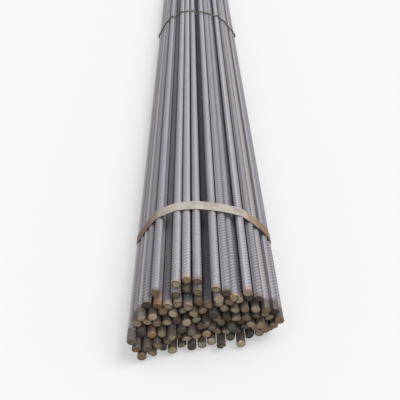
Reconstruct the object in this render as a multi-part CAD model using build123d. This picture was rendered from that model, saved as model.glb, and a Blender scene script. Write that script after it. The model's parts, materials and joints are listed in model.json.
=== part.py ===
"""A tied bundle of deformed reinforcing bars, lying flat, all sizes in millimetres.

The bars lie along Y in eight courses that have settled into a flat-bottomed dome.
Two flat steel straps hold the ends and three turns of wire hold the middle.
"""
from build123d import *
import math
import os
import random

# Bar of 20 mm nominal diameter: a round core with two ribs that run its whole length
BAR_LENGTH = 6000.0
CORE_RADIUS = 9.9
CORE_FLATS = 16
RIB_RISE = 1.25
RIB_BURIED = 1.0
RIB_FOOT_WIDTH = 3.2
RIB_SLOPE = 70.0
BAR_REACH = CORE_RADIUS + RIB_RISE

# Full courses from the floor up: how many bars, where the first and the last one lie across,
# and how far these two stand out in front of the front strap
FULL_COURSES = (
    (14, -143.5, 151.0, 352.0, 278.0),
    (15, -155.0, 162.0, 347.0, 283.0),
    (16, -167.0, 174.0, 341.0, 285.0),
    (15, -156.0, 162.0, 306.0, 275.0),
    (13, -142.0, 140.0, 306.0, 292.0),
    (12, -131.0, 120.0, 286.0, 275.0),
)
# How far the inner bars of the lowest course stand out
LOWEST_REACHES = (343.0, 326.0, 336.0, 322.0, 327.0, 321.0, 312.0, 325.0, 302.0, 320.0, 296.0, 288.0)
# The two top courses, with open dips between bars: each bar's place across, its height
# and how far it stands out
OPEN_COURSES = (
    (
        (-112.0, 138.0, 271.0),
        (-65.0, 138.5, 278.0),
        (-41.0, 140.5, 262.0),
        (-17.0, 141.5, 273.0),
        (31.0, 136.0, 294.0),
        (62.5, 137.0, 289.0),
        (97.0, 137.5, 275.0),
    ),
    (
        (-65.0, 161.0, 267.0),
        (-42.0, 164.5, 256.0),
        (-17.0, 167.0, 264.0),
        (25.0, 158.0, 284.0),
        (46.5, 151.0, 287.0),
    ),
)

# Room that each bar takes among its neighbours, which its ribs and its bow make uneven
LEAST_ROOM = 2 * BAR_REACH + 0.15
MOST_ROOM = LEAST_ROOM + 0.5
COURSE_RISE = (LEAST_ROOM + MOST_ROOM) / 2 * math.sqrt(3) / 2

# Settling: the bars of the full courses lie a little unevenly, then crowded ones push apart
SETTLE_SEED = 7
UNEVENNESS = 1.5
SETTLE_STEPS = 4000
CLOSE_ENOUGH = 0.03

# How far the other bars' front ends stand beyond the front strap
FRONT_REACH = 317.0
HEIGHT_SETBACK = 0.315
SIDE_SKEW = 0.183
SKEW_HEIGHT = 115.0
END_SCATTER = 7.5
STAGGER_SEED = 12

# Sheared ends
MOST_SHEAR_TILT = 9.0
SHEAR_ALLOWANCE = 6.0

# Flat steel strap, its lap and its seal
STRAP_WIDTH = 32.0
STRAP_THICKNESS = 0.9
FRONT_STRAP_PLACE = 290.0
REAR_STRAP_PLACE = 5710.0
TIE_CLEARANCE = 0.1
LAP_LEFT_END = -148.0
LAP_RIGHT_BOTTOM = 66.0
SEAL_BOTTOM = 73.0
SEAL_TOP = 115.0
SEAL_THICKNESS = 1.2
SEAL_SIDE = 1.3

# Wire tie
WIRE_RADIUS = 3.25
WIRE_FLATS = 8
WIRE_PLACES = (1790.0, 3000.0, 4210.0)
KNOT_RADIUS = 6.4
KNOT_LENGTH = 52.0
KNOT_GRIP = 2.0

FLOOR_TO_BAR = 2 * WIRE_RADIUS + TIE_CLEARANCE


def full_course(number):
    """Start places of a full course's bars, each with its reach where that is known."""
    count, first_place, last_place, first_reach, last_reach = FULL_COURSES[number]
    step = (last_place - first_place) / (count - 1)
    inner = list(LOWEST_REACHES) if number == 0 else [None] * (count - 2)
    reaches = [first_reach] + inner + [last_reach]
    height = FLOOR_TO_BAR + BAR_REACH + number * COURSE_RISE
    return [(first_place + step * index, height, reach) for index, reach in enumerate(reaches)]


def push_apart(bars):
    """Move each crowded pair of bars apart and return the deepest crowding found."""
    worst = 0.0
    for index, one in enumerate(bars):
        for other in bars[index + 1:]:
            across = other["x"] - one["x"]
            up = other["z"] - one["z"]
            room = one["room"] + other["room"]
            apart = math.hypot(across, up)
            if apart >= room:
                continue
            share = (room - apart) / 2 / apart
            one["x"] -= across * share
            one["z"] -= up * share
            other["x"] += across * share
            other["z"] += up * share
            worst = max(worst, room - apart)
    for bar in bars:
        bar["z"] = max(bar["z"], FLOOR_TO_BAR + BAR_REACH)
    return worst


def settled_bars():
    """Bars of the bundle, course by course, once none of them crowds another."""
    rng = random.Random(SETTLE_SEED)
    courses = [full_course(number) for number in range(len(FULL_COURSES))] + list(OPEN_COURSES)
    bars = []
    for course, places in enumerate(courses):
        uneven = UNEVENNESS if course < len(FULL_COURSES) else 0.0
        for x, z, reach in places:
            x += rng.uniform(-uneven, uneven)
            z += rng.uniform(-uneven, uneven)
            room = rng.uniform(LEAST_ROOM, MOST_ROOM) / 2
            bars.append({"x": x, "z": z, "room": room, "course": course, "reach": reach})
    for _ in range(SETTLE_STEPS):
        if push_apart(bars) < CLOSE_ENOUGH:
            break
    middle = (min(bar["x"] for bar in bars) + max(bar["x"] for bar in bars)) / 2
    for bar in bars:
        bar["x"] -= middle
    return bars


def stagger(bars):
    """Give each bar its roll, the tilts of its two cuts and, where it isn't known, its reach."""
    rng = random.Random(STAGGER_SEED)
    for bar in bars:
        height = bar["z"] - FLOOR_TO_BAR - BAR_REACH
        skew = SIDE_SKEW * bar["x"] * (1 - height / SKEW_HEIGHT)
        reach = FRONT_REACH - HEIGHT_SETBACK * height - skew + rng.gauss(0, END_SCATTER)
        bar["reach"] = bar["reach"] or reach
        bar["roll"] = rng.uniform(0, 360)
        bar["tilts"] = [(rng.uniform(-1, 1), rng.uniform(-1, 1)) for _ in range(2)]


def bar_section():
    """Core of a round's area drawn with flats, with one straight rib on each side."""
    pie = 2 * math.pi / CORE_FLATS
    corner_radius = CORE_RADIUS * math.sqrt(pie / math.sin(pie))
    core = RegularPolygon(corner_radius, CORE_FLATS)
    rib_middle = CORE_RADIUS + (RIB_RISE - RIB_BURIED) / 2
    rib = Pos(0, rib_middle) * Trapezoid(RIB_FOOT_WIDTH, RIB_RISE + RIB_BURIED, RIB_SLOPE)
    return core + rib + Rot(0, 0, 180) * rib


def cut_plane(x, y, z, tilt):
    """Plane of a sheared end, nearly square to the bar."""
    lean = math.tan(math.radians(MOST_SHEAR_TILT))
    return Plane(origin=(x, y, z), z_dir=(tilt[0] * lean, 1, tilt[1] * lean))


def deformed_bar(section, bar, front_strap):
    """One bar, sheared at both ends."""
    front = front_strap - bar["reach"]
    roll = math.radians(bar["roll"])
    start = Plane(
        origin=(bar["x"], front - SHEAR_ALLOWANCE, bar["z"]),
        x_dir=(math.cos(roll), 0, math.sin(roll)),
        z_dir=(0, 1, 0),
    )
    solid = extrude(start * section, BAR_LENGTH + 2 * SHEAR_ALLOWANCE)
    front_cut = cut_plane(bar["x"], front, bar["z"], bar["tilts"][0])
    rear_cut = cut_plane(bar["x"], front + BAR_LENGTH, bar["z"], bar["tilts"][1])
    solid = split(solid, bisect_by=front_cut, keep=Keep.TOP)
    return split(solid, bisect_by=rear_cut, keep=Keep.BOTTOM)


def turn(a, b, c):
    """Positive where the way from a through b to c turns left."""
    return (b[0] - a[0]) * (c[1] - a[1]) - (b[1] - a[1]) * (c[0] - a[0])


def hull_of(bars):
    """Corners of the line pulled tight round the bars' centres, anticlockwise."""
    points = sorted((bar["x"], bar["z"]) for bar in bars)
    lower = []
    upper = []
    for chain, ordered in ((lower, points), (upper, points[::-1])):
        for point in ordered:
            while len(chain) > 1 and turn(chain[-2], chain[-1], point) <= 0:
                chain.pop()
            chain.append(point)
    return lower[:-1] + upper[:-1]


def tight_outline(hull, stand_off):
    """Face inside a line pulled tight round the bars, at a distance from their surface."""
    core = make_face(Polyline(*hull, close=True))
    return offset(core, amount=BAR_REACH + TIE_CLEARANCE + stand_off, kind=Kind.ARC)


def band(hull, inner, outer, width, station):
    """Closed flat band between two distances from the bars."""
    ring = tight_outline(hull, outer) - tight_outline(hull, inner)
    return Pos(0, station, 0) * extrude(Plane.XZ * ring, amount=width / 2, both=True)


def block(left, bottom, top, station):
    """Block that keeps the part of a band right of one line and between two heights."""
    width = 3 * abs(LAP_LEFT_END)
    place = Pos(left + width / 2, station, (bottom + top) / 2)
    return place * Box(width, 2 * STRAP_WIDTH, top - bottom)


def strap(hull, station):
    """Strap drawn tight, its free end lapped over the top from the seal."""
    closed = band(hull, 0, STRAP_THICKNESS, STRAP_WIDTH, station)
    lap = band(hull, STRAP_THICKNESS, 2 * STRAP_THICKNESS, STRAP_WIDTH, station)
    over_the_top = max(point[1] for point in hull) + 2 * BAR_REACH
    return closed + (lap & block(LAP_LEFT_END, LAP_RIGHT_BOTTOM, over_the_top, station))


def seal(hull, station):
    """Sleeve crimped over both layers of the strap, on the right flank."""
    top = 2 * STRAP_THICKNESS
    sleeve = band(hull, 0, top + SEAL_THICKNESS, STRAP_WIDTH + 2 * SEAL_SIDE, station)
    inside = band(hull, 0, top, STRAP_WIDTH, station)
    return (sleeve - inside) & block(0.0, SEAL_BOTTOM, SEAL_TOP, station)


def knot_place(hull):
    """Middle of the twisted ends, outside the wire and under the bulge of the right flank."""
    low = min(hull, key=lambda point: (round(point[1]), -point[0]))
    high = max(hull)
    lean = math.atan2(high[1] - low[1], high[0] - low[0])
    stand_off = BAR_REACH + TIE_CLEARANCE + 2 * WIRE_RADIUS + KNOT_RADIUS - KNOT_GRIP
    x = (low[0] + high[0]) / 2 + stand_off * math.sin(lean)
    z = (low[1] + high[1]) / 2 - stand_off * math.cos(lean)
    return x, z


def wire_tie(hull, station):
    """Wire drawn tight round the bundle, its two ends twisted together along the flank."""
    path = (Plane.XZ * tight_outline(hull, WIRE_RADIUS)).wires()[0]
    section = Plane(origin=path @ 0, z_dir=path % 0) * RegularPolygon(WIRE_RADIUS, WIRE_FLATS)
    loop = sweep(section, path=path)
    x, z = knot_place(hull)
    knot = Pos(x, 0, z) * Rot(90, 0, 0) * Cylinder(KNOT_RADIUS, KNOT_LENGTH)
    return Pos(0, station, 0) * (loop + knot)


def main():
    os.makedirs("parts", exist_ok=True)
    bars = settled_bars()
    stagger(bars)
    fronts = [-bar["reach"] for bar in bars]
    front_strap = -(min(fronts) + max(fronts) + BAR_LENGTH) / 2
    rear_strap = front_strap + REAR_STRAP_PLACE - FRONT_STRAP_PLACE
    section = bar_section()
    for course in range(len(FULL_COURSES) + len(OPEN_COURSES)):
        row = [deformed_bar(section, bar, front_strap) for bar in bars if bar["course"] == course]
        export_step(Compound(row), f"parts/bars_row_{course + 1}.step")
    hull = hull_of(bars)
    for name, station in (("front", front_strap), ("rear", rear_strap)):
        export_step(strap(hull, station), f"parts/strap_{name}.step")
        export_step(seal(hull, station), f"parts/strap_seal_{name}.step")
    for number, place in enumerate(WIRE_PLACES, start=1):
        station = front_strap + place - FRONT_STRAP_PLACE
        export_step(wire_tie(hull, station), f"parts/wire_tie_{number}.step")


main()
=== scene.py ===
"""Looks of a bundle of deformed steel bars, held by flat straps with seals and by twisted wire ties.

Everything is in metres, in the frame of the packed model: bars along Y, +Z up, the floor at zero.
"""
import json
import math
import random
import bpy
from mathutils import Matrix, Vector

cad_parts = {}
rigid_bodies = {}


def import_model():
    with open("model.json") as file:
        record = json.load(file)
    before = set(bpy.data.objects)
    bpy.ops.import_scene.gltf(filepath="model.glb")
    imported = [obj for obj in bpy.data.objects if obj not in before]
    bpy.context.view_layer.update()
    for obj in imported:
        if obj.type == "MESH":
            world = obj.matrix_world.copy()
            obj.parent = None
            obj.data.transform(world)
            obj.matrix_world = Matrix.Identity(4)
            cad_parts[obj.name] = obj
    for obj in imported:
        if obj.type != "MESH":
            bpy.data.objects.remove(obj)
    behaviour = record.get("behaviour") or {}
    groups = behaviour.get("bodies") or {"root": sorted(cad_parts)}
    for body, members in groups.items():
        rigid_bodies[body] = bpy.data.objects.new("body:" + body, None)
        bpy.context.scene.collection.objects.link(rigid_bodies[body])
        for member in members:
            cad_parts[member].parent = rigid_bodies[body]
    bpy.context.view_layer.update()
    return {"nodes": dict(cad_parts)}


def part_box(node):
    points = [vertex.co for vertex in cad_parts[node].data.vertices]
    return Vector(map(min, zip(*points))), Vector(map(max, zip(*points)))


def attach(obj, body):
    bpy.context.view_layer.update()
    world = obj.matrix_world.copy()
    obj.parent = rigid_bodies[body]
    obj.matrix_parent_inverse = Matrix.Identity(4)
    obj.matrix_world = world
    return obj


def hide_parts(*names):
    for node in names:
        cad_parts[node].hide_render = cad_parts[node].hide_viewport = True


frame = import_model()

from types import SimpleNamespace

import bpy
import numpy as np
from mathutils import Matrix, Vector

bl_info = {
    "name": "Rebar Bundle",
    "version": (1, 0, 0),
    "blender": (4, 5, 0),
    "location": "View3D > Sidebar > Bundle",
    "description": "Ribs, ties, finishes and stage of a bundle of deformed steel bars",
    "category": "Add Mesh",
}

# Material slot of a bar's cuts, after that of its scale
CUT_SLOT = 1

# Map and marks that the finishes read: metres round and along a bar, and facts of each bar and strip
WRAP_MAP = "bar_wrap"
BAR_MARKS = "bar_marks"
CREST_MARK = "rib_crest"
SHELTER_MARK = "bar_shelter"
TIE_MARKS = "tie_marks"
MARKS_SEED = 21

# Points of the packed model nearer than this are one point, and ones this near a bar's reach lie on
# its seams
WELD = 1e-5
SEAM_DEPTH = 5e-5

# Middle of a bar on its map, in metres behind its front cut
BAR_MIDDLE = 3.0

# How deep a slanting rib's foot sits in the core, as a share of the rib's rise
ROOT_DEPTH = 0.3

# Looks across the bundle: how far down they may point before they meet the floor, how wide a bar hides
# what is behind it as a share of its reach, and the directions from a slanting rib, as shares of its span
FLOOR_LOOK = -0.5
HIDING_WIDTH = 0.9
RIB_LOOKS = (-0.8, -0.4, 0.0, 0.4, 0.8)

# How far a fully rolled rim draws in, as a multiple of the swell at the other rims
ROLL_PULL = 1.9

# Heights between which the ends behind the cuts go from painted shade to a brown stain, pale on some, and the
# painted shade and grey-green tarnish of the lower cuts fades
PALE_HEIGHTS = (0.105, 0.130)
LOW_CUT_SHADE_HEIGHTS = (0.06, 0.11)

# Distances from a cut's middle between which its darker rim sets in
RIM_REACH = (0.0062, 0.0098)

# Thin rust on the straps, from where it sets in across the bundle to where it is full
STRAP_STAINS = ((-0.112, -0.138), (0.106, 0.122))
LAP_BLUR = 0.0005

# Steps that a flank is searched with, those that a band, a wire's loop and a wire's end are drawn with,
# and a seal's grid
FLANK_STEPS = 400
BAND_STEPS = 300
WIRE_STEPS = 360
TWIST_STEPS = 60
SEAL_GRID = (40, 24)

# Crimps along a seal that runs from -1 to 1, how far each one reaches, and where across the seal,
# which also runs from -1 to 1, they start and are full
CRIMPS = (-0.66, -0.33, 0.0, 0.33, 0.66)
CRIMP_WIDTH = 0.12
CRIMP_START = 0.30
CRIMP_FULL = 0.55

# A seal of half width 1: where it folds over and how far it spreads, then its least height and its
# sheet in thicknesses, and the share of the crimp depth that shows
SEAL_FOLD = 0.9
SEAL_SPREAD = 1.06
SEAL_LEAST = 0.6
SEAL_SHEET = 0.8
SEAL_BITE = 0.7

# How far from the middle of its length a wire's end starts to flare, and by which share of its radius
FLARE_START = 0.42
FLARE = 0.5

# Bars that stand out by their rust or paint: place across, height, rust, paint
MARKED_BARS = (
    (-0.110, 0.118, 0.80, 0.0),
    (-0.137, 0.077, 0.55, 0.0),
    (-0.125, 0.057, 0.60, 0.0),
    (-0.019, 0.118, 0.45, 0.0),
    (0.061, 0.139, 0.20, 1.0),
    (-0.079, 0.018, 0.30, 0.6),
)


def settings_of(kind, **limits):
    """Short maker of settings of one kind, each from its name, description and default."""
    def make(name, description, default):
        return kind(name=name, description=description, default=default, **limits)
    return make


metres = settings_of(bpy.props.FloatProperty, unit="LENGTH")
angular = settings_of(bpy.props.FloatProperty, subtype="ANGLE")
fraction = settings_of(bpy.props.FloatProperty, min=0.0, max=1.0, subtype="FACTOR")
number = settings_of(bpy.props.FloatProperty)
steps = settings_of(bpy.props.IntProperty, min=4)
tint = settings_of(bpy.props.FloatVectorProperty, subtype="COLOR", size=3)
direction = settings_of(bpy.props.FloatVectorProperty, subtype="EULER", size=3)


class BarSizes(bpy.types.PropertyGroup):
    """Sizes of one deformed bar."""

    flats: steps("Flats", "Flats that the round core is drawn with", 24)
    core_radius: metres("Core radius", "Radius between the ribs", 0.0101)
    rib_rise: metres("Rib rise", "Height of every rib above the core", 0.00105)
    seam_crest: number("Seam crest", "Width of a seam's crest as a share of its foot", 0.55)
    rib_steps: steps("Rib steps", "Straight runs that a slanting rib is drawn with", 5)
    rib_pitch: metres("Rib pitch", "Distance from rib to rib along the bar", 0.010)
    rib_foot: metres("Rib foot", "Width of a slanting rib at the core", 0.0040)
    rib_span: angular("Rib span", "Turn round the bar that one slanting rib covers", math.radians(150))
    rib_slant: angular("Rib slant", "Angle between a slanting rib and the bar", math.radians(60))
    end_stretch: metres("End stretch", "Ribbed length at each end of a side that other bars hide", 0.30)
    rib_setback: metres("Rib setback", "How far behind a cut the slanting ribs end", 0.0003)
    end_swell: number("End swell", "How much wider a bar is where the shears squeezed it", 1.075)
    end_depth: metres("End depth", "Length behind a cut over which the bar swells", 0.009)
    end_roll: metres("End roll", "How far the shears roll a cut's edge over on one side", 0.0022)
    end_rim: metres("End rim", "Width of the edge that the shears roll over", 0.0026)
    edge_break: metres("Edge break", "Width of the broken edge round a cut", 0.00025)


class TieSizes(bpy.types.PropertyGroup):
    """Sizes of the straps, their seals and the wire ties."""

    clearance: metres("Clearance", "Gap between a tie and the bars it lies on", 0.0001)
    strap_thickness: metres("Strap thickness", "Thickness of one layer of strap", 0.0009)
    strap_bow: metres("Strap bow", "Radius to which the strap's springiness bends its upper runs", 0.36)
    strap_round: metres("Strap edge", "Rounding of the strap's rolled edges", 0.0003)
    lap_left: metres("Lap end", "Place across where the strap's free end lies", -0.148)
    lap_bottom: metres("Lap foot", "Height at which the lap comes out under the seal", 0.066)
    seal_bottom: metres("Seal bottom", "Height of the seal's lower end", 0.073)
    seal_top: metres("Seal top", "Height of the seal's upper end", 0.115)
    seal_thickness: metres("Seal thickness", "Thickness of the seal's sheet", 0.0012)
    crimp_depth: metres("Crimp depth", "How far a crimp presses the seal in", 0.0016)
    wire_radius: metres("Wire radius", "Radius of the tying wire", 0.00325)
    wire_dip: fraction("Wire dip", "How far the wire sinks between bars: 0 is taut, 1 follows each bar", 0.38)
    twist_turns: number("Twist turns", "Turns of the twisted wire ends", 2.6)


class Colours(bpy.types.PropertyGroup):
    """Colours of the finishes."""

    scale_pale: tint("Pale scale", "Worn mill scale of the bars", (0.475, 0.455, 0.493))
    scale_dark: tint("Dark scale", "Thick mill scale of the bars", (0.36, 0.346, 0.378))
    # Painted shade: a near-black coat for bars whose sky the bundle hides, not a colour of the scale
    sheltered_shade: tint("Deep scale", "Unworn scale of the bars inside", (0.075, 0.073, 0.085))
    scale_warm: tint("Warm scale", "Mill scale with a breath of rust", (0.47, 0.42, 0.41))
    # Dirt and painted shade: darkens the valleys between the ribs and the ribs' feet
    rib_foot: tint("Rib foot", "Dirt between the ribs", (0.09, 0.087, 0.10))
    rust: tint("Rust", "Fresh rust", (0.42, 0.17, 0.06))
    rust_deep: tint("Deep rust", "Old rust", (0.16, 0.075, 0.04))
    cut_steel: tint("Cut steel", "Sheared ends of the bars", (0.74, 0.60, 0.43))
    cut_shade: tint("Cut shade", "Stained sheared ends", (0.11, 0.095, 0.075))
    cut_brown: tint("Cut brown", "Rusted sheared ends", (0.46, 0.29, 0.16))
    # Painted shade with a grey-green tarnish, laid on the cuts low in the bundle
    cut_low_shade_and_tarnish: tint("Cut grey", "Sheared ends with a grey-green tarnish", (0.16, 0.165, 0.14))
    end_stain: tint("End stain", "Brown stain just behind a cut", (0.20, 0.155, 0.11))
    # Partly a brown stain, partly painted shade darkening the shafts behind the lower bars' cuts
    end_shade: tint("End shade", "Dark stain behind the cuts of the lower bars", (0.085, 0.06, 0.038))
    end_blush: tint("End blush", "Pale thin rust just behind a few cuts", (0.46, 0.33, 0.24))
    marker: tint("Marker", "Yellow marking paint on a few ends", (0.62, 0.45, 0.08))
    strap: tint("Strap", "Strap steel", (0.51, 0.47, 0.42))
    strap_shade: tint("Strap shade", "Stained strap steel", (0.36, 0.31, 0.25))
    strap_brown: tint(
        "Strap brown", "Thin rust towards the strap's free end and its seal", (0.34, 0.22, 0.13)
    )
    strap_under: tint("Strap under", "Lower layer past the strap's free end", (0.30, 0.205, 0.155))
    seal: tint("Seal", "Worn steel of the seals", (0.42, 0.31, 0.235))
    # Painted shade in the seals' crimps
    crimp: tint("Crimp", "Dirt in the seals' crimps", (0.07, 0.045, 0.03))
    # Painted highlight along the edges of straps and seals
    edge_highlight: tint("Worn edge", "Rubbed edges of straps and seals", (0.66, 0.61, 0.55))
    wire: tint("Wire", "Scale on the tying wire", (0.13, 0.12, 0.12))


class StageSizes(bpy.types.PropertyGroup):
    """Camera, floor and light."""

    camera_across: metres("Camera across", "Camera's place across the bundle", -0.0290)
    camera_ahead: metres("Camera ahead", "Camera's distance in front of the front strap", 1.1281)
    camera_height: metres("Camera height", "Camera's height above the floor", 1.0626)
    picture_size: number("Picture size", "Side of the square picture, in pixels", 400.0)
    focal_pixels: number("Focal length", "Focal length in pixels of the picture", 550.0)
    vanishing_x: number("Vanishing x", "Pixel across where the bars' lines meet", 188.4)
    vanishing_y: number("Vanishing y", "Pixel down where the bars' lines meet", -222.7)
    floor_size: metres("Floor size", "Side of the floor", 60.0)
    floor_colour: tint("Floor", "Colour of the floor to the camera", (0.86, 0.86, 0.86))
    floor_bounce: tint("Floor bounce", "Colour of the floor to the light", (0.14, 0.14, 0.14))
    floor_glow: fraction("Floor glow", "How much of the floor is plain white to the camera", 0.4)
    key_strength: number("Key light", "Strength of the soft light overhead", 1.6)
    key_softness: angular("Key softness", "Width of the soft light, as seen from the floor", math.radians(40))
    key_lean: direction("Key lean", "Turn of the soft light from straight down", (-0.22, 0.52, 0.0))
    sky_strength: number("Sky light", "Strength of the even light from all round", 0.62)


def deselect():
    """Leave no object selected."""
    bpy.ops.object.select_all(action="DESELECT")


def choose(*objects):
    """Select only these objects and make the first one active."""
    deselect()
    for one in objects:
        one.select_set(True)
    bpy.context.view_layer.objects.active = objects[0]


def edit(*objects):
    """Go to edit mode on these objects with everything in them selected."""
    choose(*objects)
    bpy.ops.object.mode_set(mode="EDIT")
    bpy.ops.mesh.select_all(action="SELECT")


def pick_faces(mesh_object, wanted):
    """In edit mode, select only the faces that pass a test."""
    bpy.ops.mesh.select_mode(type="FACE")
    bpy.ops.mesh.select_all(action="DESELECT")
    bpy.ops.object.mode_set(mode="OBJECT")
    for face in mesh_object.data.polygons:
        face.select = wanted(face)
    bpy.ops.object.mode_set(mode="EDIT")


def face_outwards():
    """In edit mode, point all faces outwards."""
    bpy.ops.mesh.select_all(action="SELECT")
    bpy.ops.mesh.normals_make_consistent(inside=False)


def leave_edit():
    """Go back to object mode."""
    bpy.ops.mesh.select_mode(type="VERT")
    bpy.ops.object.mode_set(mode="OBJECT")


def smooth_below(angle):
    """Shade the active object smooth where its faces meet at less than so many degrees."""
    bpy.ops.object.shade_smooth_by_angle(angle=math.radians(angle))


def twin(source):
    """Copy of an object with a mesh of its own."""
    copy = source.copy()
    copy.data = source.data.copy()
    bpy.context.scene.collection.objects.link(copy)
    return copy


def apply_modifier(mesh_object, kind, **values):
    """Add a modifier with these values and apply it."""
    choose(mesh_object)
    modifier = mesh_object.modifiers.new(kind.lower(), kind)
    for key, value in values.items():
        setattr(modifier, key, value)
    bpy.ops.object.modifier_apply(modifier=modifier.name)


def join(parts, name):
    """Make one object of several, under a name."""
    choose(*parts)
    if len(parts) > 1:
        bpy.ops.object.join()
    whole = bpy.context.view_layer.objects.active
    whole.name = name
    whole.data.name = name
    return whole


def discard(*objects):
    """Remove helper objects and their meshes."""
    for one in objects:
        mesh = one.data
        bpy.data.objects.remove(one)
        bpy.data.meshes.remove(mesh)


def seat(piece, node, finish=None):
    """Give a finished piece its material and let it stand for a packed node, on the bundle's one body."""
    if finish:
        piece.data.materials.append(bpy.data.materials[finish])
    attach(piece, "root")
    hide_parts(node)


def band_place(node):
    """Place along the bundle and width of a packed strap or seal."""
    low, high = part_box(node)
    return (low.y + high.y) / 2, high.y - low.y


def numbers_of(elements, name, kind=np.int32, each=1):
    """What a mesh holds under a name for each of its vertices, corners or faces."""
    values = np.empty(len(elements) * each, kind)
    elements.foreach_get(name, values)
    return values


def corner_points(mesh):
    """Places of a mesh's vertices, as rows of numbers."""
    return numbers_of(mesh.vertices, "co", np.float32, 3).reshape(-1, 3).astype(float)


def bar_from(mesh):
    """Axis, cuts and turn of one bar, from its corner points."""
    points = corner_points(mesh)
    middle = (points.min(0) + points.max(0)) / 2
    away = points - middle
    cuts = []
    for end in (away[:, 1] < 0, away[:, 1] > 0):
        flat = np.column_stack([np.ones(end.sum()), away[end, 0], away[end, 2]])
        cuts.append(np.linalg.lstsq(flat, points[end, 1], rcond=None)[0])
    reach = np.hypot(away[:, 0], away[:, 2])
    tips = away[reach > reach.max() - SEAM_DEPTH]
    doubled = 2 * np.arctan2(tips[:, 2], tips[:, 0])
    turn = math.atan2(np.sin(doubled).sum(), np.cos(doubled).sum()) / 2
    return SimpleNamespace(x=middle[0], z=middle[2], turn=turn, reach=reach.max(), cuts=cuts)


def bars_in(node):
    """Bars of a course, from left to right, read from the packed node."""
    copy = twin(frame["nodes"][node])
    copy.parent = None
    edit(copy)
    bpy.ops.mesh.remove_doubles(threshold=WELD)
    bpy.ops.mesh.separate(type="LOOSE")
    leave_edit()
    parts = list(bpy.context.selected_objects)
    bars = [bar_from(part.data) for part in parts]
    discard(*parts)
    return sorted(bars, key=lambda bar: bar.x)


COURSES = {name: bars_in(name) for name in sorted(frame["nodes"]) if name.startswith("bars_row_")}
BARS = [bar for course in COURSES.values() for bar in course]
BAR_REACH = max(bar.reach for bar in BARS)
HEART = (0.0, sum(bar.z for bar in BARS) / len(BARS))


def leans_in(first, second, third):
    """True where the way through three points doesn't turn left."""
    ahead = (second[0] - first[0], second[1] - first[1])
    beyond = (third[0] - first[0], third[1] - first[1])
    return ahead[0] * beyond[1] - ahead[1] * beyond[0] <= 0


def tight_corners():
    """Bars that a line pulled tight round the bundle turns at, anticlockwise."""
    points = sorted((bar.x, bar.z) for bar in BARS)
    chains = []
    for ordered in (points, points[::-1]):
        chain = []
        for point in ordered:
            while len(chain) > 1 and leans_in(chain[-2], chain[-1], point):
                chain.pop()
            chain.append(point)
        chains.append(chain[:-1])
    return chains[0] + chains[1]


CORNERS = tight_corners()


def seen_along(start, point, way):
    """How far a point lies from a start along a way, and how far aside."""
    across = (point[0] - start[0], point[1] - start[1])
    return across[0] * way[0] + across[1] * way[1], across[0] * way[1] - across[1] * way[0]


def far_side(point, radius, way):
    """Distance from the heart, along a way, to the far side of a circle, or 0 where it misses."""
    along, aside = seen_along(HEART, point, way)
    if abs(aside) > radius or along < 0:
        return 0.0
    return along + math.sqrt(radius * radius - aside * aside)


def run_between(first, second, radius, way, bow=0.0):
    """Distance along a way to the run that touches two circles, or 0 where it misses.

    The run is straight, or bows outwards by so many metres for each square metre if it faces up.
    """
    length = math.hypot(second[0] - first[0], second[1] - first[1])
    ahead = ((second[0] - first[0]) / length, (second[1] - first[1]) / length)
    out = (ahead[1], -ahead[0])
    facing = out[0] * way[0] + out[1] * way[1]
    if facing <= 0:
        return 0.0
    start = (first[0] + out[0] * radius - HEART[0], first[1] + out[1] * radius - HEART[1])
    distance = (start[0] * out[0] + start[1] * out[1]) / facing
    place = (way[0] * distance - start[0]) * ahead[0] + (way[1] * distance - start[1]) * ahead[1]
    rise = 4 * bow * place * (length - place) if out[1] > 0 else 0.0
    return distance + rise / facing if 0 <= place <= length else 0.0


def line_point(angle, stand_off, dip=0.0, bow=0.0):
    """Point of a line round the bundle, taut at dip 0, round each bar at dip 1 or bowed outwards."""
    way = (math.cos(angle), math.sin(angle))
    radius = BAR_REACH + stand_off
    nearest = max(far_side((bar.x, bar.z), radius, way) for bar in BARS)
    runs = zip(CORNERS, CORNERS[1:] + CORNERS[:1])
    taut = max([nearest] + [run_between(one, other, radius, way, bow) for one, other in runs])
    reach = taut + (nearest - taut) * dip
    return HEART[0] + reach * way[0], HEART[1] + reach * way[1]


def angle_at_height(height):
    """Direction from the heart at which the right flank of a taut line reaches a height."""
    angles = np.linspace(math.radians(-20), math.radians(75), FLANK_STEPS)
    heights = [line_point(angle, 0.0)[1] for angle in angles]
    return float(np.interp(height, heights, angles))


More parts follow.
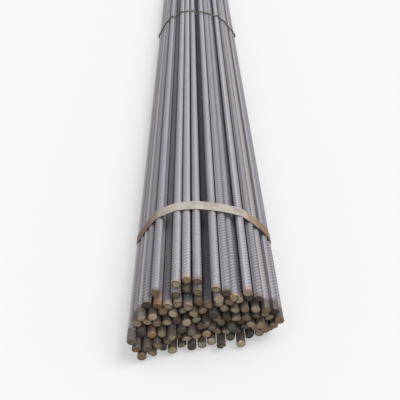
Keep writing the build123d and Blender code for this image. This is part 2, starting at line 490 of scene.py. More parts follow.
class Tree:
    """Short calls that add nodes to a node tree and wire them."""

    def __init__(self, node_tree):
        self.links = node_tree.links
        self.nodes = node_tree.nodes

    def feed(self, node, inputs):
        """Give a node's inputs, by place or name, their values or links, a colour by three values."""
        for key, value in inputs.items():
            socket = node.inputs[key]
            if isinstance(value, bpy.types.NodeSocket):
                self.links.new(value, socket)
            elif socket.type == "RGBA":
                socket.default_value = (*value, 1.0)
            else:
                socket.default_value = value
        return node.outputs

    def add(self, kind, inputs=None, **values):
        """Add a node with these values and inputs, and return its outputs."""
        node = self.nodes.new("ShaderNode" + kind)
        for key, value in values.items():
            setattr(node, key, value)
        return self.feed(node, inputs or {})

    def group(self, name, inputs):
        """Add a group node with these inputs, and return its outputs."""
        return self.add("Group", inputs, node_tree=bpy.data.node_groups[name])

    def sum(self, operation, first, second=0.0, third=0.0):
        """Result of a sum on numbers."""
        return self.add("Math", {0: first, 1: second, 2: third}, operation=operation)[0]

    def times(self, first, second):
        """Product of two numbers."""
        return self.sum("MULTIPLY", first, second)

    def mixture(self, *parts, start=0.0):
        """Start value with several numbers added, each by its share."""
        for value, share in parts:
            start = self.sum("MULTIPLY_ADD", value, share, start)
        return start

    def shuffled(self, tone, turns):
        """Another chance number from 0 to 1, taken from a bar's tone."""
        return self.sum("PINGPONG", self.times(tone, turns), 1.0)

    def stretch(self, vector, scale):
        """Vector multiplied by a scale for each axis."""
        return self.add("VectorMath", {0: vector, 1: scale}, operation="MULTIPLY")[0]

    def axis(self, vector, place):
        """One of a vector's three numbers."""
        return self.add("SeparateXYZ", {0: vector})[place]

    def height(self):
        """Height over the floor."""
        return self.axis(self.add("TexCoord")["Object"], 2)

    def mark(self, name, output="Fac"):
        """Mark that the mesh carries under a name."""
        return self.add("Attribute", attribute_name=name)[output]

    def noise(self, vector, scale=1.0, detail=3.0, roughness=0.55):
        """Noise from 0 to 1."""
        inputs = {"Vector": vector, "Scale": scale, "Detail": detail, "Roughness": roughness}
        return self.add("TexNoise", inputs)["Fac"]

    def between(self, value, low, high, out_low=0.0, out_high=1.0):
        """Value taken smoothly from one range to another, and held at its ends."""
        inputs = {"Value": value, "From Min": low, "From Max": high, "To Min": out_low, "To Max": out_high}
        return self.add("MapRange", inputs, interpolation_type="SMOOTHSTEP")[0]

    def coats(self, colour, *coats):
        """Colour under several coats, each given by how far it covers and its own colour."""
        for share, coat in coats:
            colour = self.add("Mix", {0: share, 6: colour, 7: coat}, data_type="RGBA")[2]
        return colour


def new_group(name, inputs, outputs):
    """Shader group with named sockets: its tree, what it is given and the node that it feeds."""
    group = bpy.data.node_groups.new(name, "ShaderNodeTree")
    for way, sockets in (("INPUT", inputs), ("OUTPUT", outputs)):
        for socket, kind in sockets.items():
            group.interface.new_socket(name=socket, in_out=way, socket_type="NodeSocket" + kind)
    return Tree(group), group.nodes.new("NodeGroupInput").outputs, group.nodes.new("NodeGroupOutput")


def mill_scale_group():
    """Blotched and streaked mill scale, on a map in metres round and along a bar."""
    tree, given, made = new_group(
        "mill_scale", {"Vector": "Vector", "Pale": "Color", "Dark": "Color", "Tone": "Float"},
        {"Color": "Color", "Roughness": "Float", "Height": "Float"},
    )
    streaks = tree.noise(tree.stretch(given["Vector"], (420.0, 9.0, 1.0)), detail=4.0)
    blotches = tree.noise(tree.stretch(given["Vector"], (60.0, 7.0, 1.0)))
    speckle = tree.noise(tree.stretch(given["Vector"], (900.0, 700.0, 1.0)), detail=2.0)
    mottle = tree.noise(tree.stretch(given["Vector"], (230.0, 150.0, 1.0)), detail=2.0)
    mixed = tree.mixture(
        (blotches, 0.5), (streaks, 0.5), (given["Tone"], 0.5), (mottle, 1.0), (speckle, 0.22), start=-0.5
    )
    tree.feed(made, {
        "Color": tree.coats(given["Dark"], (tree.between(mixed, 0.62, 1.12), given["Pale"])),
        "Roughness": tree.between(speckle, 0.3, 0.75, 0.48, 0.72),
        "Height": tree.mixture((streaks, 0.4), (speckle, 0.6)),
    })


def rust_group():
    """Patches of rust, as a mask and a colour, by how much rust there is."""
    tree, given, made = new_group(
        "rust_patches", {"Vector": "Vector", "Fresh": "Color", "Deep": "Color", "Amount": "Float"},
        {"Mask": "Float", "Color": "Color"},
    )
    wide = tree.noise(given["Vector"], 1.0, 5.0, 0.62)
    fine = tree.noise(given["Vector"], 6.0)
    edge = tree.mixture((given["Amount"], -0.5), start=0.74)
    tree.feed(made, {
        "Mask": tree.between(tree.mixture((wide, 0.7), (fine, 0.3)), edge, tree.sum("ADD", edge, 0.16)),
        "Color": tree.coats(given["Deep"], (tree.between(fine, 0.35, 0.65), given["Fresh"])),
    })


def rib_group():
    """Where slanting ribs lie on a bar's map: how far they swell there, and how deep the dirt and painted
    shade between them are.
    """
    inputs = dict.fromkeys(("Start", "Radius", "Pitch", "Foot", "Span", "Slant"), "Float")
    inputs["Vector"] = "Vector"
    tree, given, made = new_group("rib_places", inputs, {"Swell": "Float", "Dirt": "Float"})
    round_bar, along, _ = tree.add("SeparateXYZ", {0: given["Vector"]})
    middle = tree.times(tree.sum("SIGN", round_bar), tree.times(given["Radius"], math.pi / 2))
    away = tree.sum("SUBTRACT", round_bar, middle)
    share = tree.sum("DIVIDE", away, tree.times(given["Radius"], tree.times(given["Span"], 0.5)))
    swell = tree.sum("MAXIMUM", tree.sum("SUBTRACT", 1.0, tree.times(share, share)), 0.0)
    slanted = tree.sum("ADD", along, tree.sum("DIVIDE", away, tree.sum("TANGENT", given["Slant"])))
    row = tree.sum("DIVIDE", tree.sum("ADD", slanted, given["Start"]), given["Pitch"])
    gap = tree.times(tree.sum("PINGPONG", row, 0.5), given["Pitch"])
    dirt_and_shade = tree.between(gap, tree.times(given["Foot"], 0.4), tree.times(given["Foot"], 0.62))
    # The Dirt output is dirt and painted shade in the valleys between the ribs
    tree.feed(made, {"Swell": swell, "Dirt": tree.times(dirt_and_shade, tree.between(swell, 0.0, 0.5))})


def grain_group():
    """Scratches, stains and dust on rolled steel."""
    tree, given, made = new_group(
        "rolled_grain", {"Vector": "Vector", "Clean": "Color", "Stained": "Color"},
        {"Color": "Color", "Roughness": "Float", "Height": "Float"},
    )
    scratches = tree.noise(tree.stretch(given["Vector"], (60.0, 1500.0, 60.0)))
    stains = tree.noise(given["Vector"], 22.0, 4.0, 0.5)
    dust = tree.noise(given["Vector"], 700.0, 2.0)
    stained = tree.between(tree.mixture((scratches, 0.25), start=stains), 0.50, 0.90)
    dusty = tree.between(dust, 0.55, 0.75, 0.0, 0.35)
    tree.feed(made, {
        "Color": tree.coats(given["Clean"], (stained, given["Stained"]), (dusty, given["Stained"])),
        "Roughness": tree.between(stains, 0.3, 0.7, 0.55, 0.72),
        "Height": tree.mixture((dust, 0.5), start=scratches),
    })


def new_finish(name, metallic):
    """Material with its tree and its Principled node."""
    material = bpy.data.materials.new(name)
    material.use_nodes = True
    shader = material.node_tree.nodes["Principled BSDF"]
    shader.inputs["Metallic"].default_value = metallic
    return Tree(material.node_tree), shader


def set_surface(tree, shader, colour, roughness, height, depth):
    """Feed the shader its colour, its roughness and a bump so many metres deep."""
    normal = tree.add("Bump", {"Strength": 1.0, "Distance": depth, "Height": height})[0]
    tree.feed(shader, {"Base Color": colour, "Roughness": roughness, "Normal": normal})


def bar_facts(tree):
    """A bar's map, the map shifted for each bar, and its tone, rust and paint."""
    wrap = tree.add("UVMap", uv_map=WRAP_MAP)[0]
    tone, rust, paint = tree.add("SeparateXYZ", {0: tree.mark(BAR_MARKS, "Vector")})
    offset = tree.add("CombineXYZ", {2: tree.times(tone, 37.0)})[0]
    own = tree.add("VectorMath", {0: wrap, 1: offset}, operation="ADD")[0]
    return wrap, own, tone, rust, paint


def rust_on(tree, colours, place, scale, amount):
    """Patches of rust on a map, stretched by a scale for each axis."""
    return tree.group("rust_patches", {
        "Vector": tree.stretch(place, scale), "Fresh": colours.rust, "Deep": colours.rust_deep,
        "Amount": amount,
    })


def bar_finish(colours, sizes):
    """Mill scale with painted shade on bars hidden from the sky, dirt and painted shade between the ribs,
    crests paler from wear and a painted highlight, and stains behind each cut, with painted shade behind
    those of the lower bars.
    """
    tree, shader = new_finish("bar_scale", metallic=0.15)
    wrap, own, tone, rust, paint = bar_facts(tree)
    scale = tree.group("mill_scale", {
        "Vector": own, "Pale": colours.scale_pale, "Dark": colours.scale_dark, "Tone": tone,
    })
    ribs = tree.group("rib_places", {
        "Vector": wrap, "Start": tree.times(tone, sizes.rib_pitch), "Radius": sizes.core_radius,
        "Pitch": sizes.rib_pitch, "Foot": sizes.rib_foot, "Span": sizes.rib_span, "Slant": sizes.rib_slant,
    })
    crest = tree.mark(CREST_MARK)
    edge = tree.mixture((ribs["Swell"], 0.4), start=0.01)
    # Darkest at a slanting rib's foot, as dirt and painted shade
    foot = tree.times(tree.between(crest, 0.0, edge, 1.0, 0.0), ribs["Swell"])
    from_middle = tree.sum("ABSOLUTE", tree.sum("SUBTRACT", tree.axis(wrap, 1), BAR_MIDDLE))
    ragged = tree.noise(tree.stretch(own, (90.0, 60.0, 1.0)), detail=4.0)
    # Lower bars get painted shade behind their cuts, upper ones the brown stain and a pale blush
    upper = tree.between(tree.height(), *PALE_HEIGHTS)
    pale_end = tree.times(tree.between(tone, 0.30, 0.60), upper)
    end_colour = tree.coats(colours.end_shade, (upper, colours.end_stain), (pale_end, colours.end_blush))
    reach = tree.mixture((ragged, 0.02), (upper, -0.024), start=from_middle)
    patches = rust_on(tree, colours, own, (120.0, 22.0, 1.0), rust)
    near_end = tree.between(from_middle, BAR_MIDDLE - 0.07, BAR_MIDDLE - 0.02, 0.0, 0.8)
    daub = tree.times(paint, tree.between(from_middle, BAR_MIDDLE - 0.004, BAR_MIDDLE - 0.001))
    colour = tree.coats(
        scale["Color"],
        (tree.between(tree.shuffled(tone, 11.0), 0.5, 1.0, 0.0, 0.6), colours.scale_warm),
        # Painted shade: bars that the bundle hides from the sky are darkened towards near black
        (tree.between(tree.mark(SHELTER_MARK), 0.55, 1.0, 0.0, 0.78), colours.sheltered_shade),
        # Dirt and painted shade in the ribs' valleys and at their feet
        (tree.times(tree.sum("MAXIMUM", foot, ribs["Dirt"]), 0.52), colours.rib_foot),
        # Crests paler, partly from wear and partly as a painted highlight
        (tree.between(crest, 0.55, 1.0, 0.0, 0.7), colours.scale_pale),
        # Stain behind each cut, and on lower bars painted shade
        (tree.between(reach, BAR_MIDDLE - 0.030, BAR_MIDDLE - 0.016, 0.0, 0.8), end_colour),
        (tree.times(patches["Mask"], near_end), patches["Color"]),
        (tree.times(daub, tree.between(ragged, 0.42, 0.55)), colours.marker),
    )
    set_surface(tree, shader, colour, scale["Roughness"], scale["Height"], depth=0.0003)


def cut_finish(colours):
    """Sheared steel with drag marks, a darker rim, thin rust and, low in the bundle, painted shade with a
    grey-green tarnish.
    """
    tree, shader = new_finish("bar_cut", metallic=0.2)
    wrap, own, tone, rust, paint = bar_facts(tree)
    angle = tree.times(tone, 9.0)
    turned = tree.add("VectorRotate", {"Vector": own, "Angle": angle}, rotation_type="Z_AXIS")[0]
    drag = tree.noise(tree.stretch(turned, (1400.0, 160.0, 1.0)))
    stain = tree.noise(tree.stretch(own, (140.0, 140.0, 1.0)), detail=4.0)
    edge = tree.add("VectorMath", {0: wrap}, operation="LENGTH")["Value"]
    rim = tree.between(edge, *RIM_REACH)
    bright = tree.mixture((stain, 0.75), (tone, 0.7), (rim, -0.30), (drag, 0.3))
    grey = tree.between(tree.shuffled(tone, 23.0), 0.5, 0.95, 0.0, 0.8)
    # How low a cut sits, for its painted shade and grey-green tarnish
    low = tree.between(tree.height(), *LOW_CUT_SHADE_HEIGHTS, 1.0, 0.1)
    patches = rust_on(tree, colours, own, (190.0, 190.0, 1.0), tree.mixture((rust, 0.6), start=0.22))
    daub = tree.times(tree.between(tree.axis(wrap, 1), 0.002, 0.006), tree.between(stain, 0.4, 0.5))
    colour = tree.coats(
        colours.cut_shade,
        (tree.between(bright, 0.50, 1.10), colours.cut_steel),
        (tree.between(tree.shuffled(tone, 7.0), 0.3, 1.0, 0.0, 0.7), colours.cut_brown),
        (tree.times(grey, low), colours.cut_low_shade_and_tarnish),
        (tree.times(patches["Mask"], 0.65), patches["Color"]),
        (tree.times(paint, daub), colours.marker),
    )
    roughness = tree.between(stain, 0.3, 0.7, 0.5, 0.75)
    set_surface(tree, shader, colour, roughness, drag, depth=0.0005)


def strip_finish(name, clean, stained, colours, rust, stains=()):
    """Rolled steel, scratched along its length, with a painted highlight on its edges, painted shade in the
    crimps and thin rust.

    Each of the stains sets in from one place across the bundle to another, in a colour.
    """
    tree, shader = new_finish(name, metallic=0.25)
    place = tree.add("TexCoord")["Object"]
    grain = tree.group("rolled_grain", {"Vector": place, "Clean": clean, "Stained": stained})
    sideways = tree.axis(place, 0)
    stained_ends = [(tree.between(sideways, start, full, 0.0, 0.85), stain) for start, full, stain in stains]
    patches = rust_on(tree, colours, place, (95.0, 150.0, 95.0), rust)
    across, crimp, _ = tree.add("SeparateXYZ", {0: tree.mark(TIE_MARKS, "Vector")})
    colour = tree.coats(
        grain["Color"],
        *stained_ends,
        (tree.times(patches["Mask"], 0.7), patches["Color"]),
        # Painted highlight along the strip's edges
        (tree.between(tree.sum("ABSOLUTE", across), 0.84, 0.96, 0.0, 0.45), colours.edge_highlight),
        # Painted shade, darker where a crimp presses deeper
        (tree.between(crimp, 0.0, 0.5, 0.0, 0.9), colours.crimp),
    )
    set_surface(tree, shader, colour, grain["Roughness"], grain["Height"], depth=0.0002)


def core_blank(sizes, length):
    """Round core with its two straight seams, longer than any bar and open at its ends."""
    deselect()
    bpy.ops.mesh.primitive_cylinder_add(
        vertices=sizes.flats, radius=sizes.core_radius, depth=length, end_fill_type="NOTHING",
        rotation=(math.pi / 2, 0, 0),
    )
    blank = bpy.context.active_object
    bpy.ops.object.transform_apply()
    edit(blank)
    bpy.ops.transform.rotate(value=math.pi / sizes.flats, orient_axis="Y", center_override=(0, 0, 0))
    pick_faces(blank, lambda face: abs(face.normal.x) > 0.999)
    bpy.ops.mesh.extrude_region_shrink_fatten(TRANSFORM_OT_shrink_fatten={"value": sizes.rib_rise})
    bpy.ops.transform.resize(value=(1, 1, sizes.seam_crest), center_override=(0, 0, 0))
    leave_edit()
    return blank


def rib_blank(sizes, side):
    """One slanting rib, a crescent highest at its middle, above the core at side 1 and below at -1."""
    deselect()
    bpy.ops.mesh.primitive_grid_add(x_subdivisions=sizes.rib_steps, y_subdivisions=2, size=2)
    blank = bpy.context.active_object
    root = -ROOT_DEPTH * sizes.rib_rise
    for vertex in blank.data.vertices:
        along_rib, across_rib = vertex.co.x, vertex.co.y
        swell = 1 - along_rib * along_rib
        angle = along_rib * sizes.rib_span / 2
        rise = sizes.rib_rise * swell if swell > 0 and abs(across_rib) < 0.5 else root
        reach = sizes.core_radius + rise
        drift = angle * sizes.core_radius / math.tan(sizes.rib_slant)
        place = drift + across_rib * sizes.rib_foot / 2 * (swell > 0)
        vertex.co = (reach * math.sin(angle), side * place, side * reach * math.cos(angle))
    edit(blank)
    bpy.ops.mesh.remove_doubles(threshold=1e-6)
    bpy.ops.mesh.select_all(action="DESELECT")
    bpy.ops.mesh.select_non_manifold()
    bpy.ops.mesh.edge_face_add()
    face_outwards()
    leave_edit()
    smooth_below(100)
    return blank


def repeat(part, count, step):
    """Line up copies of a part along the bundle, a step apart."""
    apply_modifier(
        part, "ARRAY", count=count, use_relative_offset=False, use_constant_offset=True,
        constant_offset_displace=(0, step, 0),
    )


def rib_row(sizes, side, whole, length):
    """Slanting ribs along one side of a bar, over its whole length or a stretch at each end."""
    row = rib_blank(sizes, side)
    span = length if whole else sizes.end_stretch
    repeat(row, int(span / sizes.rib_pitch), sizes.rib_pitch)
    if not whole:
        repeat(row, 2, length - sizes.end_stretch)
    return row


def looks_out(bar, angle):
    """True if no other bar and no floor stands before this bar in a direction across the bundle."""
    way = (math.cos(angle), math.sin(angle))
    if way[1] < FLOOR_LOOK:
        return False
    for other in BARS:
        along, aside = seen_along((bar.x, bar.z), (other.x, other.z), way)
        if along > 0 and abs(aside) < HIDING_WIDTH * BAR_REACH:
            return False
    return True


def side_shows(bar, side, sizes):
    """True if some of the slanting ribs on a side of a bar face out of the bundle."""
    middle = bar.turn + side * math.pi / 2
    looks = [middle + share * sizes.rib_span / 2 for share in RIB_LOOKS]
    return any(looks_out(bar, angle) for angle in looks)


def place_along(part, bar, y):
    """Turn and move a copy of a blank onto a bar's axis, and leave its place in its mesh."""
    turn = Matrix.Rotation(-bar.turn, 4, "Y")
    part.matrix_world = Matrix.Translation((bar.x, y, bar.z)) @ turn
    choose(part)
    bpy.ops.object.transform_apply()


def ring_cut(part, bar, cut, sizes):
    """Part a cut's face into a flat rim and a middle, and give them and the broken edge the cut's finish."""
    edit(part)

    def at_cut(face):
        return len(face.vertices) > sizes.flats and abs(face.center.y - cut[0]) < BAR_REACH

    pick_faces(part, at_cut)
    share = 1 - sizes.end_rim / sizes.core_radius
    bpy.ops.mesh.extrude_region_move()
    bpy.ops.transform.resize(value=(share, share, share), center_override=(bar.x, cut[0], bar.z))
    bpy.ops.mesh.select_more()
    bpy.ops.mesh.select_more()
    bpy.ops.object.material_slot_assign()
    leave_edit()


def squeeze_ends(part, bar, sizes):
    """Shape a core's rims as the shears leave them, rolled over where the cut leans back.

    The rest of a rim is squeezed wider, but not past the seams' reach.
    """
    swollen = 0.9 * sizes.end_depth
    flat_middle = sizes.core_radius - sizes.end_rim / 2
    for vertex in part.data.vertices:
        across, up = vertex.co.x - bar.x, vertex.co.z - bar.z
        reach = math.hypot(across, up)
        cut = min(bar.cuts, key=lambda one: abs(vertex.co.y - one[0]))
        behind = abs(vertex.co.y - cut[0] - cut[1] * across - cut[2] * up)
        share = max(0.0, 1 - behind / swollen)
        if share == 0 or reach < flat_middle:
            continue
        inwards = 1 if cut is bar.cuts[0] else -1
        leaning_back = inwards * math.cos(math.atan2(up, across) - math.atan2(cut[2], cut[1]))
        rolled = max(0.0, leaning_back) ** 2 * share
        widened = reach * (1 + (sizes.end_swell - 1) * share * (1 - ROLL_PULL * rolled))
        widened = min(widened, max(reach, bar.reach))
        vertex.co.x = bar.x + across * widened / reach
        vertex.co.y += inwards * sizes.end_roll * rolled
        vertex.co.z = bar.z + up * widened / reach


def shear_ends(part, bar, sizes, is_core):
    """Cut a core or its ribs at both ends and give the cuts their finish.

    A core also has its cuts' rims broken, rolled and squeezed, and ribs end just behind them.
    """
    edit(part)
    bpy.ops.mesh.select_mode(type="VERT")
    part.active_material_index = CUT_SLOT
    for inwards, cut in zip((1, -1), bar.cuts):
        slope = (-cut[1], 1.0, -cut[2])
        if is_core:
            behind = cut[0] + inwards * sizes.end_depth
            bpy.ops.mesh.select_all(action="SELECT")
            bpy.ops.mesh.bisect(plane_co=(bar.x, behind, bar.z), plane_no=slope)
        place = cut[0] if is_core else cut[0] + inwards * sizes.rib_setback
        bpy.ops.mesh.select_all(action="SELECT")
        bpy.ops.mesh.bisect(
            plane_co=(bar.x, place, bar.z), plane_no=slope, use_fill=True,
            clear_inner=inwards > 0, clear_outer=inwards < 0,
        )
        bpy.ops.object.material_slot_assign()
        if is_core:
            bpy.ops.mesh.bevel(offset=sizes.edge_break, affect="EDGES")
    face_outwards()
    leave_edit()
    if is_core:
        for cut in bar.cuts:
            ring_cut(part, bar, cut, sizes)
        squeeze_ends(part, bar, sizes)
    choose(part)
    smooth_below(35)


def add_mark(mesh, name, kind, values):
    """Write a mark for every point of a mesh, as numbers or as vectors."""
    layer = mesh.attributes.new(name, kind, "POINT").data
    layer.foreach_set("value" if kind == "FLOAT" else "vector", np.asarray(values, np.float32).ravel())


def write_marks(part, bar, marks, shelter, ribs, sizes):
    """Write a bar's marks and its map of metres round and along it, or across it on a cut.

    The crest mark is 0 at a slanting rib's foot, 0.5 on the plain core and 1 on every crest.
    """
    mesh = part.data
    points = corner_points(mesh)
    across, up = points[:, 0] - bar.x, points[:, 2] - bar.z
    crest = np.clip((np.hypot(across, up) - sizes.core_radius) / sizes.rib_rise, 0, 1)
    add_mark(mesh, CREST_MARK, "FLOAT", crest if ribs else 0.5 + crest / 2)
    add_mark(mesh, SHELTER_MARK, "FLOAT", np.full(len(points), shelter))
    add_mark(mesh, BAR_MARKS, "FLOAT_VECTOR", np.tile(marks, len(points)))
    corners = numbers_of(mesh.loops, "vertex_index")
    starts, counts = numbers_of(mesh.polygons, "loop_start"), numbers_of(mesh.polygons, "loop_total")
    angles = np.arctan2(up, across)[corners] - bar.turn
    first = np.repeat(angles[starts], counts)
    angles = first + (angles - first + math.pi) % (2 * math.pi) - math.pi
    wrap = np.column_stack([angles * sizes.core_radius, points[corners, 1] - bar.cuts[0][0]])
    on_cut = np.repeat(numbers_of(mesh.polygons, "material_index") == CUT_SLOT, counts)
    wrap[on_cut] = np.column_stack([across, up])[corners][on_cut]
    for layer in list(mesh.uv_layers):
        mesh.uv_layers.remove(layer)
    mesh.uv_layers.new(name=WRAP_MAP).data.foreach_set("uv", wrap.astype(np.float32).ravel())


def shelter_of(bar):
    """How much of the sky over a bar the bundle hides, from 0 to 1."""
    looks = [looks_out(bar, math.radians(angle)) for angle in range(15, 180, 15)]
    return 1 - sum(looks) / len(looks)


def marks_of_bars():
    """Tone, rust and paint of every bar, by the bar's place."""
    rng = random.Random(MARKS_SEED)
    marks = {}
    for bar in BARS:
        marks[bar.x, bar.z] = [rng.random(), 0.05 + 0.3 * rng.random() ** 3, 0.0]
    for x, z, rust, paint in MARKED_BARS:
        nearest = min(marks, key=lambda place: math.hypot(place[0] - x, place[1] - z))
        marks[nearest][1:] = [rust, paint]
    return marks


class BUNDLE_OT_bars(bpy.types.Operator):
    """Model every bar with its seams, slanting ribs and sheared ends, course by course"""

    bl_idname = "bundle.bars"
    bl_label = "Bars"

    def execute(self, context):
        sizes = context.scene.bundle_bars
        colours = context.scene.bundle_colours
        bar_finish(colours, sizes)
        cut_finish(colours)
        marks = marks_of_bars()
        length = BARS[0].cuts[1][0] - BARS[0].cuts[0][0]
        blanks = {"core": core_blank(sizes, length + 4 * BAR_REACH)}
        for side in (1, -1):
            for whole in (True, False):
                blanks[side, whole] = rib_row(sizes, side, whole, length + 3 * sizes.rib_pitch)
        for blank in blanks.values():
            for finish in ("bar_scale", "bar_cut"):
                blank.data.materials.append(bpy.data.materials[finish])
        for node, course in COURSES.items():
            parts = []
            for bar in course:
                facts, shelter = marks[bar.x, bar.z], shelter_of(bar)
                front, rear = bar.cuts[0][0], bar.cuts[1][0]
                rib_start = front - (1 + facts[0]) * sizes.rib_pitch
                copies = [(twin(blanks["core"]), (front + rear) / 2)]
                for side in (1, -1):
                    copies.append((twin(blanks[side, side_shows(bar, side, sizes)]), rib_start))
                for copy, place in copies:
                    is_core = copy is copies[0][0]
                    place_along(copy, bar, place)
                    shear_ends(copy, bar, sizes, is_core)
                    write_marks(copy, bar, facts, shelter, not is_core, sizes)
                    parts.append(copy)
            seat(join(parts, node + "_ribbed"), node)
        discard(*blanks.values())
        return {"FINISHED"}


def bow_of(sizes):
    """Outward bow of a sprung run, in metres for each square metre of its length."""
    return 1 / (8 * sizes.strap_bow)


def mark_strip(piece, station, width, depths=None):
    """Write where each point of a strip lies across it, from -1 to 1, and how deep it is crimped."""
    points = corner_points(piece.data)
    marks = np.zeros((len(points), 3))
    marks[:, 0] = (points[:, 1] - station) / (width / 2)
    if depths:
        marks[:, 1] = depths
    add_mark(piece.data, TIE_MARKS, "FLOAT_VECTOR", marks)


def closed_band(station, width, stand_off, sizes):
    """Flat band drawn tight round the bundle, with rounded edges."""
    deselect()
    bpy.ops.mesh.primitive_circle_add(vertices=BAND_STEPS, radius=1, fill_type="NOTHING")
    band = bpy.context.active_object
    for vertex in band.data.vertices:
        x, z = line_point(math.atan2(vertex.co.y, vertex.co.x), stand_off, bow=bow_of(sizes))
        vertex.co = (x, station - width / 2, z)
    edit(band)
    bpy.ops.mesh.extrude_region_move(TRANSFORM_OT_translate={"value": (0, width, 0)})
    face_outwards()
    leave_edit()
    apply_modifier(band, "SOLIDIFY", thickness=sizes.strap_thickness, offset=1.0)
    apply_modifier(
        band, "BEVEL", width=sizes.strap_round, segments=2, limit_method="ANGLE",
        angle_limit=math.radians(60),
    )
    return band


def cut_away(piece, place, normal):
    """Cut a solid by a plane, close it and drop the part behind the plane."""
    edit(piece)
    bpy.ops.mesh.bisect(plane_co=place, plane_no=normal, use_fill=True, clear_inner=True)
    leave_edit()


class BUNDLE_OT_straps(bpy.types.Operator):
    """Model the flat straps, each with its free end lapped over the top"""

    bl_idname = "bundle.straps"
    bl_label = "Straps"

    def execute(self, context):
        sizes = context.scene.bundle_ties
        colours = context.scene.bundle_colours
        stains = [(start, full, colours.strap_brown) for start, full in STRAP_STAINS]
        stains.append((sizes.lap_left + LAP_BLUR, sizes.lap_left - LAP_BLUR, colours.strap_under))
        strip_finish("strap_strip", colours.strap, colours.strap_shade, colours, rust=0.10, stains=stains)
        for node in ("strap_front", "strap_rear"):
            station, width = band_place(node)
            strap = closed_band(station, width, sizes.clearance, sizes)
            lap = closed_band(station, width, sizes.clearance + sizes.strap_thickness, sizes)
            cut_away(lap, (0, station, sizes.lap_bottom), (0, 0, 1))
            cut_away(lap, (sizes.lap_left, station, 0), (1, 0, 0))
            piece = join([strap, lap], node + "_strip")
            mark_strip(piece, station, width)
            smooth_below(35)
            seat(piece, node, "strap_strip")
        return {"FINISHED"}


def crimped(along, across):
    """How deep a seal is pressed in at a place on it, from 0 to 1, with -1 to 1 along and across it."""
    bite = max(0.0, 1 - min(abs(along - crimp) for crimp in CRIMPS) / CRIMP_WIDTH)
    edge = min(1.0, max(0.0, (abs(across) - CRIMP_START) / (CRIMP_FULL - CRIMP_START)))
    return bite * edge


class BUNDLE_OT_seals(bpy.types.Operator):
    """Model the crimped seals that grip both layers of each strap"""

    bl_idname = "bundle.seals"
    bl_label = "Seals"

    def execute(self, context):
        sizes = context.scene.bundle_ties
        colours = context.scene.bundle_colours
        strip_finish("seal_sheet", colours.seal, colours.strap_brown, colours, rust=0.3)
        low_angle = angle_at_height(sizes.seal_bottom)
        high_angle = angle_at_height(sizes.seal_top)
        least = sizes.seal_thickness * SEAL_LEAST
        full = sizes.clearance + 2 * sizes.strap_thickness + sizes.seal_thickness
        for node in ("strap_seal_front", "strap_seal_rear"):
            station, width = band_place(node)
            deselect()
            bpy.ops.mesh.primitive_grid_add(x_subdivisions=SEAL_GRID[0], y_subdivisions=SEAL_GRID[1], size=2)
            seal = bpy.context.active_object
            depths = []
            for vertex in seal.data.vertices:
                along, across = vertex.co.x, vertex.co.y
                depths.append(crimped(along, across))
                angle = low_angle + (high_angle - low_angle) * (along + 1) / 2
                fold = max(0.0, (abs(across) - SEAL_FOLD) / (1 - SEAL_FOLD))
                stand_off = full - sizes.crimp_depth * SEAL_BITE * depths[-1] - (full - least) * fold ** 2
                x, z = line_point(angle, max(stand_off, least), bow=bow_of(sizes))
                y = station + max(-1, min(1, across * SEAL_SPREAD)) * (width / 2)
                vertex.co = (x, y, z)
            edit(seal)
            face_outwards()
            leave_edit()
            if sum(face.normal.x for face in seal.data.polygons) < 0:
                edit(seal)
                bpy.ops.mesh.flip_normals()
                leave_edit()
            mark_strip(seal, station, width, depths)
            apply_modifier(seal, "SOLIDIFY", thickness=sizes.seal_thickness * SEAL_SHEET, offset=-1.0)
            smooth_below(50)
            seal.name = node + "_crimped"
            seat(seal, node, "seal_sheet")
        return {"FINISHED"}


def rod(points, radius, closed, name):
    """Round rod through a line of points, as a mesh."""
    curve = bpy.data.curves.new(name, "CURVE")
    curve.dimensions = "3D"
    curve.bevel_depth = radius
    curve.bevel_resolution = 3
    curve.use_fill_caps = not closed
    spline = curve.splines.new("POLY")
    spline.points.add(len(points) - 1)
    for place, point in zip(spline.points, points):
        place.co = (*point, 1.0)
    spline.use_cyclic_u = closed
    drawn = bpy.data.objects.new(name, curve)
    bpy.context.scene.collection.objects.link(drawn)
    choose(drawn)
    bpy.ops.object.convert(target="MESH")
    return bpy.context.active_object


def twist_points(knot, station, sizes, start, length):
    """Line of one of the two wire ends, wound round the other along the bundle and flared at its tips."""
    points = []
    for step in range(TWIST_STEPS + 1):
        share = step / TWIST_STEPS
        angle = start + 2 * math.pi * sizes.twist_turns * share
        flare = 1.0 + FLARE * max(0.0, abs(share - 0.5) - FLARE_START) / (0.5 - FLARE_START)
        reach = sizes.wire_radius * flare
        points.append((
            knot[0] + reach * math.cos(angle), station + (share - 0.5) * length,
            knot[1] + reach * math.sin(angle),
        ))
    return points


class BUNDLE_OT_wire_ties(bpy.types.Operator):
    """Model the wire ties, sunk a little between the bars, with their ends twisted together"""

    bl_idname = "bundle.wire_ties"
    bl_label = "Wire ties"

    def execute(self, context):
        sizes = context.scene.bundle_ties
        colours = context.scene.bundle_colours
        radius = sizes.wire_radius
        strip_finish("wire_scale", colours.wire, colours.strap_shade, colours, rust=0.2)
        angles = [2 * math.pi * step / WIRE_STEPS for step in range(WIRE_STEPS)]
        line = [line_point(angle, sizes.clearance + radius, sizes.wire_dip) for angle in angles]
        for node in sorted(name for name in frame["nodes"] if name.startswith("wire_tie_")):
            points = corner_points(frame["nodes"][node].data)
            station = (points[:, 1].min() + points[:, 1].max()) / 2
            peg = points[np.abs(points[:, 1] - station) > 2 * radius]
            knot = (peg.min(0) + peg.max(0))[[0, 2]] / 2
            length = np.ptp(peg[:, 1]) - 2 * radius
            parts = [rod([(x, station, z) for x, z in line], radius, True, "loop")]
            for start in (0.0, math.pi):
                parts.append(rod(twist_points(knot, station, sizes, start, length), radius, False, "end"))
            piece = join(parts, node + "_twisted")
            smooth_below(50)
            seat(piece, node, "wire_scale")
        return {"FINISHED"}


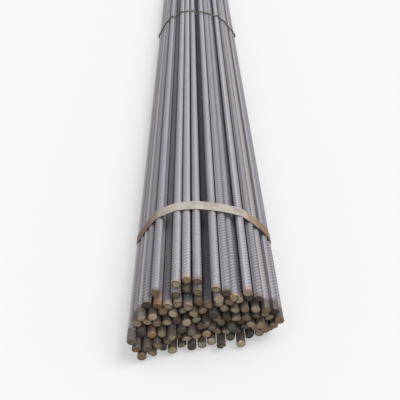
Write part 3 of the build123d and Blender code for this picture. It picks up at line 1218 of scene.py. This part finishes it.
def camera_turn(sizes):
    """Turn of a level camera that sees the bars' lines meet at the picture's vanishing point."""
    middle = sizes.picture_size / 2
    ahead = Vector((sizes.vanishing_x - middle, middle - sizes.vanishing_y, sizes.focal_pixels)).normalized()
    up = Vector((0, ahead.z, -ahead.y)).normalized()
    right = ahead.cross(up)
    right = right if right.x > 0 else -right
    seen = Matrix((right, ahead, up))
    return Matrix((seen.col[0], seen.col[1], -seen.col[2])).transposed()


def floor_finish(sizes):
    """Pale floor that keeps the shadow and is near white to the camera."""
    tree, shader = new_finish("floor", metallic=0.0)
    tree.nodes.remove(shader)
    seen = tree.add("LightPath")["Is Camera Ray"]
    colour = tree.coats(sizes.floor_bounce, (seen, sizes.floor_colour))
    plain = tree.add("BsdfDiffuse", {"Color": colour})[0]
    white = tree.add("Emission", {"Color": (1, 1, 1), "Strength": 1.0})[0]
    mixed = tree.add("MixShader", {0: tree.times(seen, sizes.floor_glow), 1: plain, 2: white})[0]
    tree.feed(tree.nodes["Material Output"], {"Surface": mixed})


def white_world(sizes):
    """Even pale light that the camera sees as white."""
    world = bpy.data.worlds.new("studio")
    world.use_nodes = True
    tree = Tree(world.node_tree)
    rays = tree.add("LightPath")
    seen = tree.sum("MAXIMUM", rays["Is Camera Ray"], rays["Is Glossy Ray"])
    strength = tree.mixture((seen, 1.0 - sizes.sky_strength), start=sizes.sky_strength)
    tree.feed(tree.nodes["Background"], {"Color": (1, 1, 1), "Strength": strength})
    return world


class BUNDLE_OT_stage(bpy.types.Operator):
    """Set up the pale floor, the soft light and the camera"""

    bl_idname = "bundle.stage"
    bl_label = "Stage"

    def execute(self, context):
        sizes = context.scene.bundle_stage
        deselect()
        bpy.ops.mesh.primitive_plane_add(size=sizes.floor_size)
        floor = context.active_object
        floor.name = "floor"
        floor_finish(sizes)
        floor.data.materials.append(bpy.data.materials["floor"])
        bpy.ops.object.light_add(type="SUN", location=(0, 0, 3), rotation=sizes.key_lean)
        key = context.active_object.data
        key.energy = sizes.key_strength
        key.angle = sizes.key_softness
        station = band_place("strap_front")[0]
        bpy.ops.object.camera_add()
        camera = context.active_object
        camera.matrix_world = Matrix.Translation(
            (sizes.camera_across, station - sizes.camera_ahead, sizes.camera_height)
        ) @ camera_turn(sizes).to_4x4()
        camera.data.lens = sizes.focal_pixels / sizes.picture_size * camera.data.sensor_width
        context.scene.camera = camera
        context.scene.world = white_world(sizes)
        context.scene.view_settings.view_transform = "Standard"
        return {"FINISHED"}


class BUNDLE_PT_panel(bpy.types.Panel):
    """Sizes, colours and steps of the bundle"""

    bl_idname = "BUNDLE_PT_panel"
    bl_label = "Rebar Bundle"
    bl_space_type = "VIEW_3D"
    bl_region_type = "UI"
    bl_category = "Bundle"

    def draw(self, context):
        for name, group in GROUPS.items():
            box = self.layout.box()
            box.label(text=group.__doc__)
            for value in group.__annotations__:
                box.prop(getattr(context.scene, name), value)
        for operator in OPERATORS:
            self.layout.operator(operator.bl_idname)


GROUPS = {
    "bundle_bars": BarSizes, "bundle_ties": TieSizes, "bundle_colours": Colours, "bundle_stage": StageSizes,
}
OPERATORS = (BUNDLE_OT_stage, BUNDLE_OT_bars, BUNDLE_OT_straps, BUNDLE_OT_seals, BUNDLE_OT_wire_ties)


def register():
    """Register the settings, the steps and the panel."""
    for group in (*GROUPS.values(), *OPERATORS, BUNDLE_PT_panel):
        bpy.utils.register_class(group)
    for name, group in GROUPS.items():
        setattr(bpy.types.Scene, name, bpy.props.PointerProperty(type=group))


def unregister():
    """Remove the settings, the steps and the panel."""
    for name in GROUPS:
        delattr(bpy.types.Scene, name)
    for group in (BUNDLE_PT_panel, *OPERATORS, *GROUPS.values()):
        bpy.utils.unregister_class(group)


def main():
    """Build the whole scene."""
    register()
    for make_group in (mill_scale_group, rust_group, rib_group, grain_group):
        make_group()
    bpy.ops.bundle.stage()
    bpy.ops.bundle.bars()
    bpy.ops.bundle.straps()
    bpy.ops.bundle.seals()
    bpy.ops.bundle.wire_ties()


if __name__ == "__main__":
    main()
